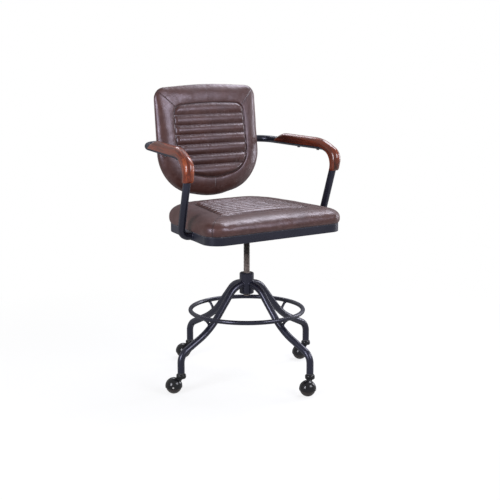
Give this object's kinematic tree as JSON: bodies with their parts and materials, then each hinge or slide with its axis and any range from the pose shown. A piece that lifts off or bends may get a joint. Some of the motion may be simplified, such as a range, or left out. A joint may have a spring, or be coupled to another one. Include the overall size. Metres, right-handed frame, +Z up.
{
  "type": "office chair",
  "caption": "Screw-lift swivel chair with channelled leather seat and back, bent wooden armrests on a loop tube, a foot ring and a splayed caster base.",
  "frame": {"origin": "on the floor, on the axis of the screw spindle", "axes": "+Z up; the sitter faces -Y; +X is the sitter's left"},
  "size_m": [0.675, 0.6897, 1.0136],
  "materials": {
    "black_paint": "satin blue-black powder coat",
    "bare_steel": "bare, oiled, threaded steel",
    "black_fasteners": "blackened steel",
    "black_nylon": "moulded nylon",
    "leather": "glossy waxed dark brown leather",
    "foam": "open-cell foam, hidden by the cover",
    "plywood": "raw plywood",
    "mahogany": "glossy red-brown lacquer",
    "caster_black": "gloss black",
    "caster_tread": "black nylon ball",
    "caster_steel": "bare steel"
  },
  "bodies": {
    "base": {"hub_sleeve": "black_paint", "spindle_nut": "bare_steel", "foot_ring": "black_paint", "leg_left": "black_paint", "leg_back": "black_paint", "leg_right": "black_paint", "leg_front": "black_paint", "ring_struts": "black_paint", "caster_sockets": "black_nylon"},
    "screw": {"wiper_ring": "black_nylon"},
    "seat": {"spindle": "bare_steel", "seat_plate": "black_paint", "seat_plate_bolts": "black_fasteners", "seat_frame": "black_paint", "seat_crossbars": "black_paint", "seat_board": "plywood", "seat_board_screws": "black_fasteners", "seat_foam": "foam", "seat_cover": "leather", "arm_tube": "black_paint", "armrest_left": "mahogany", "armrest_right": "mahogany", "armrest_screws": "black_fasteners", "back_rear_panel": "leather", "back_board": "plywood", "back_saddles": "black_paint", "back_bolts": "black_fasteners", "back_foam": "foam", "back_cover": "leather"},
    "caster_left": {"caster_left_stem": "caster_steel", "caster_left_hood": "caster_black", "caster_left_axle": "caster_steel"},
    "wheel_left": {"caster_left_wheel": "caster_tread"},
    "caster_back": {"caster_back_stem": "caster_steel", "caster_back_hood": "caster_black", "caster_back_axle": "caster_steel"},
    "wheel_back": {"caster_back_wheel": "caster_tread"},
    "caster_right": {"caster_right_stem": "caster_steel", "caster_right_hood": "caster_black", "caster_right_axle": "caster_steel"},
    "wheel_right": {"caster_right_wheel": "caster_tread"},
    "caster_front": {"caster_front_stem": "caster_steel", "caster_front_hood": "caster_black", "caster_front_axle": "caster_steel"},
    "wheel_front": {"caster_front_wheel": "caster_tread"}
  },
  "joints": [
    {"name": "seat_turn", "type": "hinge", "parent": "base", "child": "screw", "pos_m": [0, 0, 0.3685], "axis": [0, 0, 1], "range_deg": [-8640, 1440]},
    {"name": "screw_lift", "type": "slide", "parent": "screw", "child": "seat", "axis": [0, 0, 1], "range_m": [-0.12, 0.02]},
    {"name": "caster_left_swivel", "type": "hinge", "parent": "base", "child": "caster_left", "pos_m": [0.30173, 0.04455, 0.071], "axis": [0, 0, 1], "continuous": true},
    {"name": "caster_left_roll", "type": "hinge", "parent": "caster_left", "child": "wheel_left", "pos_m": [0.27691, 0.0476, 0.0265], "axis": [-0.1219, -0.9925, 0], "continuous": true},
    {"name": "caster_back_swivel", "type": "hinge", "parent": "base", "child": "caster_back", "pos_m": [-0.04455, 0.30173, 0.071], "axis": [0, 0, 1], "continuous": true},
    {"name": "caster_back_roll", "type": "hinge", "parent": "caster_back", "child": "wheel_back", "pos_m": [-0.06478, 0.31642, 0.0265], "axis": [-0.5878, -0.809, 0], "continuous": true},
    {"name": "caster_right_swivel", "type": "hinge", "parent": "base", "child": "caster_right", "pos_m": [-0.30173, -0.04455, 0.071], "axis": [0, 0, 1], "continuous": true},
    {"name": "caster_right_roll", "type": "hinge", "parent": "caster_right", "child": "wheel_right", "pos_m": [-0.32195, -0.02986, 0.0265], "axis": [-0.5878, -0.809, 0], "continuous": true},
    {"name": "caster_front_swivel", "type": "hinge", "parent": "base", "child": "caster_front", "pos_m": [0.04455, -0.30173, 0.071], "axis": [0, 0, 1], "continuous": true},
    {"name": "caster_front_roll", "type": "hinge", "parent": "caster_front", "child": "wheel_front", "pos_m": [0.02408, -0.31607, 0.0265], "axis": [0.5736, -0.8192, 0], "continuous": true}
  ],
  "couplings": [
    {"joint": "screw_lift", "follows": "seat_turn", "m_per_rad": 0.00079577}
  ]
}
